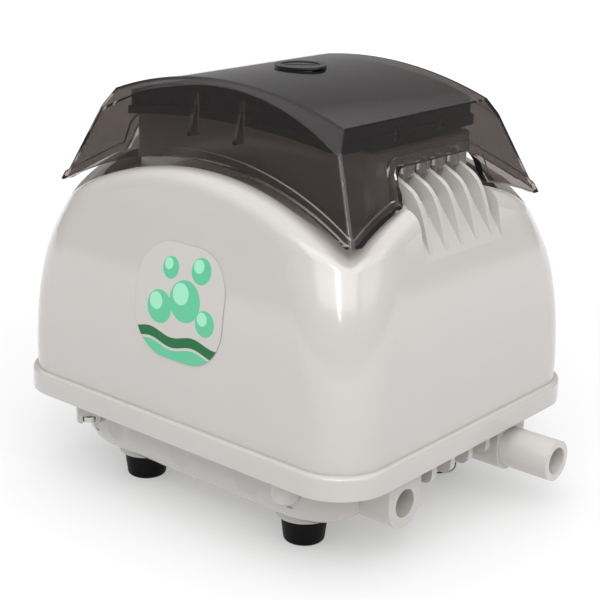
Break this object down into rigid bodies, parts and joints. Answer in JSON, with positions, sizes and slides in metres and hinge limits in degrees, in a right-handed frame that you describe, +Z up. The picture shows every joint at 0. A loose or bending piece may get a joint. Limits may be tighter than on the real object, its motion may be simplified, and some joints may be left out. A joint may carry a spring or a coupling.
{
  "type": "air pump",
  "caption": "Linear diaphragm air pump for ponds and aquariums: white arched housing, smoked lift-off cover over the filter, air tank base with outlet pipe, rubber feet.",
  "frame": {"origin": "floor level, at the middle of the bounding box in X and Y", "axes": "+Z up, +X towards the end with the ports and outlet pipe, -Y towards the long side with the label"},
  "size_m": [0.2624, 0.2058, 0.2308],
  "materials": {
    "housing_white": "glossy moulded plastic",
    "pipe_white": "smooth moulded plastic",
    "label_green": "printed film sticker",
    "smoked_cover": "glossy smoked see-through plastic",
    "black_plastic": "glossy black plastic",
    "dark_plastic": "matt black plastic",
    "filter_foam": "open-cell foam",
    "soft_rubber": "matt moulded rubber",
    "foot_rubber": "matt moulded rubber",
    "lid_plastic": "satin moulded plastic",
    "zinc_steel": "zinc-plated steel",
    "cast_aluminium": "cast and machined",
    "lamination_steel": "stacked steel laminations",
    "copper_wire": "enamelled copper wire",
    "magnet_dark": "sintered magnet",
    "terminal_brass": "turned brass"
  },
  "bodies": {
    "pump": {"upper_housing": "housing_white", "base_tank": "housing_white", "outlet_pipe": "pipe_white", "blanking_plug": "pipe_white", "face_label": "label_green", "filter_tray": "dark_plastic", "filter_element": "filter_foam", "housing_seal": "soft_rubber", "tank_seal": "soft_rubber", "tank_lid": "lid_plastic", "lid_screws": "zinc_steel", "housing_screws": "zinc_steel", "foot_screws": "zinc_steel", "foot_front_left": "foot_rubber", "foot_front_right": "foot_rubber", "foot_rear_left": "foot_rubber", "foot_rear_right": "foot_rubber", "cord_grommet": "foot_rubber", "damper_front_left": "soft_rubber", "damper_front_right": "soft_rubber", "damper_rear_left": "soft_rubber", "damper_rear_right": "soft_rubber", "motor_frame": "cast_aluminium", "stator_core_front": "lamination_steel", "stator_core_rear": "lamination_steel", "bobbin_front": "lid_plastic", "bobbin_rear": "lid_plastic", "winding_front": "copper_wire", "winding_rear": "copper_wire", "core_screws": "zinc_steel", "diaphragm_left": "soft_rubber", "diaphragm_right": "soft_rubber", "pump_head_left": "lid_plastic", "pump_head_right": "lid_plastic", "head_cover_left": "lid_plastic", "head_cover_right": "lid_plastic", "head_screws": "zinc_steel", "suction_valve_left": "soft_rubber", "suction_valve_right": "soft_rubber", "discharge_valve_left": "soft_rubber", "discharge_valve_right": "soft_rubber", "outlet_hose_left": "soft_rubber", "outlet_hose_right": "soft_rubber", "terminal_block": "dark_plastic", "terminal_screws": "terminal_brass", "stop_switch": "dark_plastic"},
    "cover": {"top_cover": "smoked_cover", "cover_screw_ring": "black_plastic"},
    "lock_screw": {"cover_screw": "black_plastic"},
    "shuttle": {"armature": "cast_aluminium", "magnet_left": "magnet_dark", "magnet_right": "magnet_dark", "inner_plate_left": "cast_aluminium", "inner_plate_right": "cast_aluminium", "outer_plate_left": "cast_aluminium", "outer_plate_right": "cast_aluminium", "rod_nuts": "zinc_steel"},
    "button": {"switch_plunger": "pipe_white"}
  },
  "joints": [
    {"name": "cover_lift", "type": "slide", "parent": "pump", "child": "cover", "axis": [0, 0, 1], "range_m": [0, 0.06]},
    {"name": "cover_screw_turn", "type": "hinge", "parent": "cover", "child": "lock_screw", "pos_m": [-0.0106, 0, 0.228], "axis": [0, 0, 1], "range_deg": [0, 1080]},
    {"name": "armature_stroke", "type": "slide", "parent": "pump", "child": "shuttle", "axis": [1, 0, 0], "range_m": [-0.0025, 0.0025], "stiffness_N_per_m": 3000, "deforming": ["diaphragm_left", "diaphragm_right"]},
    {"name": "stop_switch_press", "type": "slide", "parent": "pump", "child": "button", "axis": [0, 0, -1], "range_m": [0, 0.001], "stiffness_N_per_m": 300}
  ]
}
